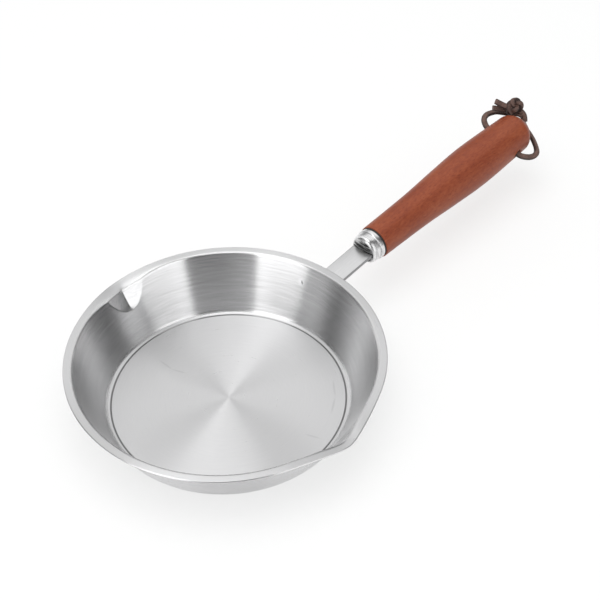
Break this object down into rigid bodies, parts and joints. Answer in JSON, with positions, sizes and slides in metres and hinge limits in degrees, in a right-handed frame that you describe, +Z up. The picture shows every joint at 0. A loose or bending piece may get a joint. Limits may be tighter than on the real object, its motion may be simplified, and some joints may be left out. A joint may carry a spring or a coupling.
{
  "type": "egg pan",
  "caption": "Small round steel egg pan with pouring lips, a flat handle strap, a polished ferrule, a turned wooden grip and a leather hanging loop.",
  "frame": {"origin": "centre of the bowl's flat underside", "axes": "+X along the handle, away from the bowl; +Z up, out of the bowl's mouth; +Y towards the left-hand pouring lip"},
  "size_m": [0.2426, 0.1224, 0.038],
  "materials": {
    "pan_steel": "brushed, with circular lines on the floor and wall",
    "strap_steel": "fine satin",
    "polished_steel": "polished",
    "dark_seal": "matt",
    "lacquered_wood": "stained and lacquered, semi-gloss",
    "set_adhesive": "cured",
    "dark_leather": "waxed lace"
  },
  "bodies": {
    "pan": {"pan_body": "pan_steel", "handle_strap": "strap_steel", "ferrule": "polished_steel", "ferrule_seal": "dark_seal", "wood_grip": "lacquered_wood", "tang_adhesive": "set_adhesive"},
    "cord_loop": {"hanging_cord": "dark_leather", "cord_knot": "dark_leather", "cord_tail_long": "dark_leather", "cord_tail_short": "dark_leather"}
  },
  "joints": [
    {"name": "cord_swing", "type": "hinge", "parent": "pan", "child": "cord_loop", "pos_m": [0.16548, 0, 0.02461], "axis": [-0.0056, 0.9511, 0.309], "range_deg": [-95, 110]}
  ]
}
